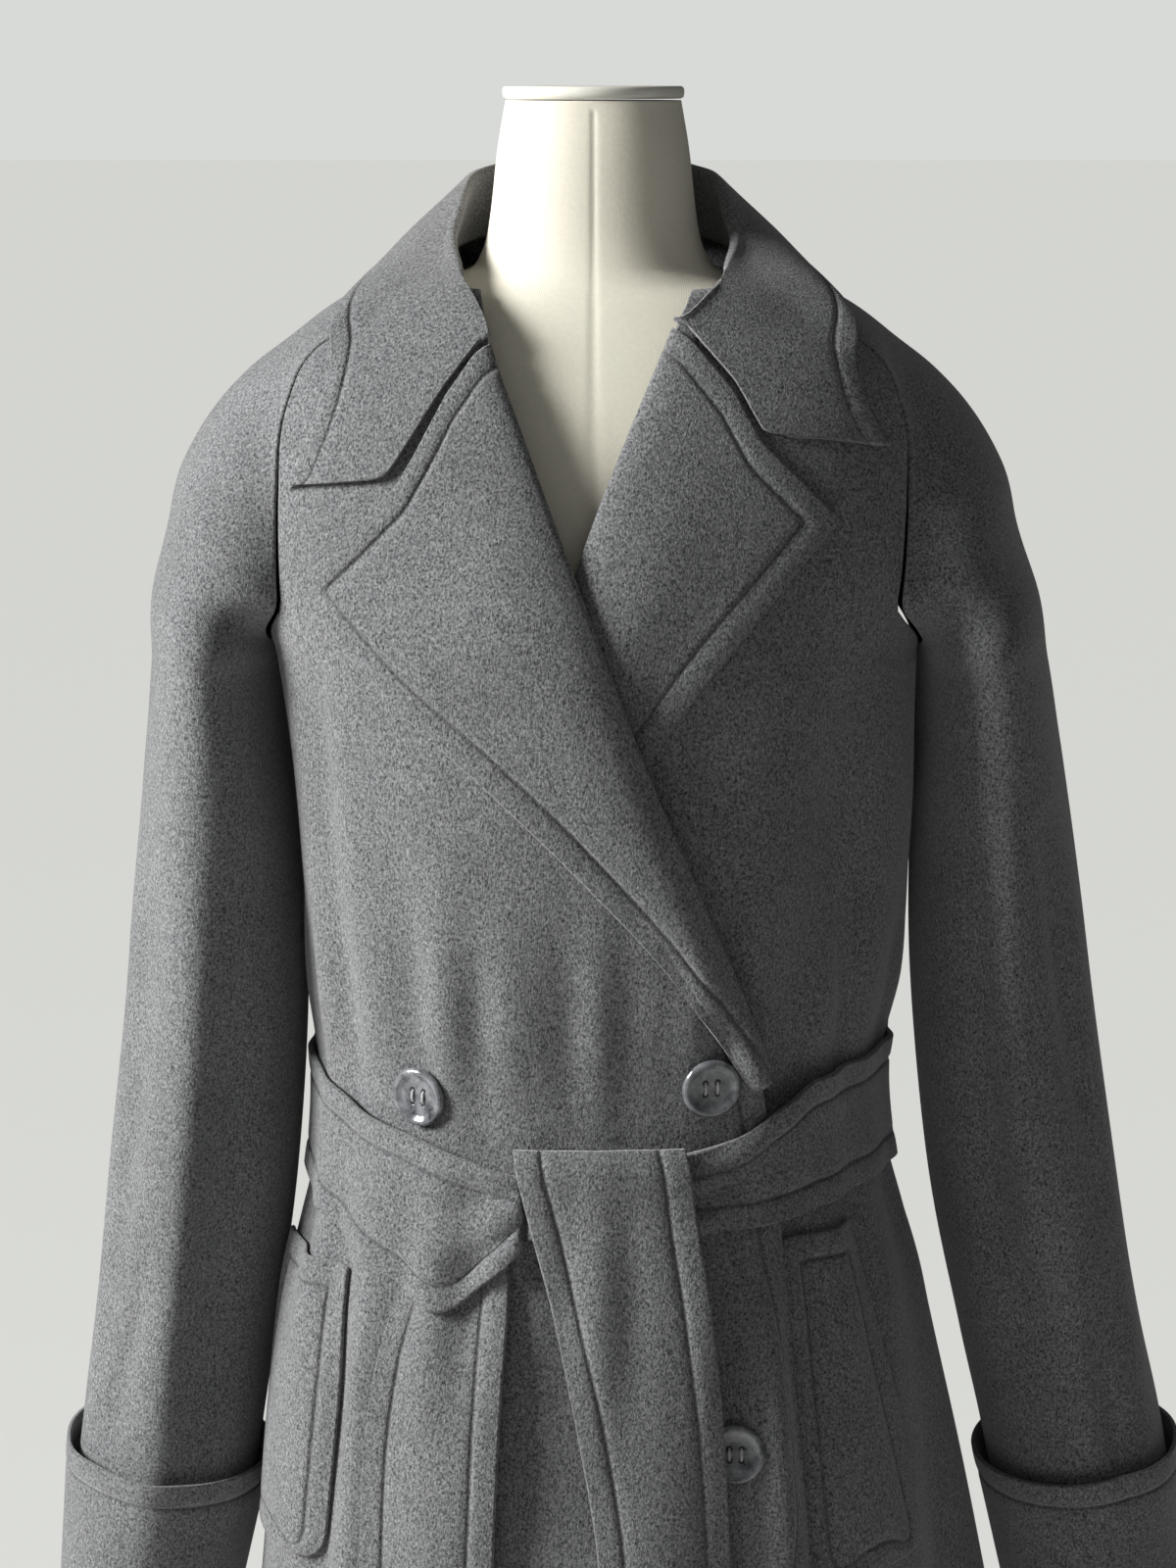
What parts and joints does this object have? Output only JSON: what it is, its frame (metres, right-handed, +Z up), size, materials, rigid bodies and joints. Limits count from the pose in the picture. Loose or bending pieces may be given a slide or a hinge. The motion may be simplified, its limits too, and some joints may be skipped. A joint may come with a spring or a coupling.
{
  "type": "double-breasted coat on a dress form",
  "caption": "Long double-breasted wool coat with wide lapels, raglan sleeves, turned-back cuffs and a tied belt, worn by a linen dress form on a stand.",
  "frame": {"origin": "centre of the underside of the stand's base", "axes": "+Z up, the coat faces -Y, +X is the wearer's left"},
  "size_m": [0.6166, 0.4138, 1.5],
  "materials": {
    "coat_wool": "heavy felted wool, charcoal melange, matt with a short nap",
    "button_horn": "polished marbled grey horn",
    "form_linen": "plain woven cream linen",
    "cap_paint": "satin off-white",
    "pole_steel": "satin steel",
    "base_paint": "satin off-white paint"
  },
  "bodies": {
    "root": {"stand_base": "base_paint", "stand_pole": "pole_steel", "form_torso": "form_linen", "neck_cap": "cap_paint", "back": "coat_wool", "front_left": "coat_wool", "front_right": "coat_wool", "lapel_left": "coat_wool", "lapel_right": "coat_wool", "collar": "coat_wool", "sleeve_left": "coat_wool", "sleeve_right": "coat_wool", "cuff_left": "coat_wool", "cuff_right": "coat_wool", "pocket_left": "coat_wool", "pocket_right": "coat_wool", "belt_waist": "coat_wool", "belt_knot": "coat_wool", "belt_tail_over": "coat_wool", "belt_tail_under": "coat_wool", "button_upper_right": "button_horn", "button_upper_left": "button_horn", "button_lower_right": "button_horn", "button_lower_left": "button_horn"}
  },
  "joints": []
}
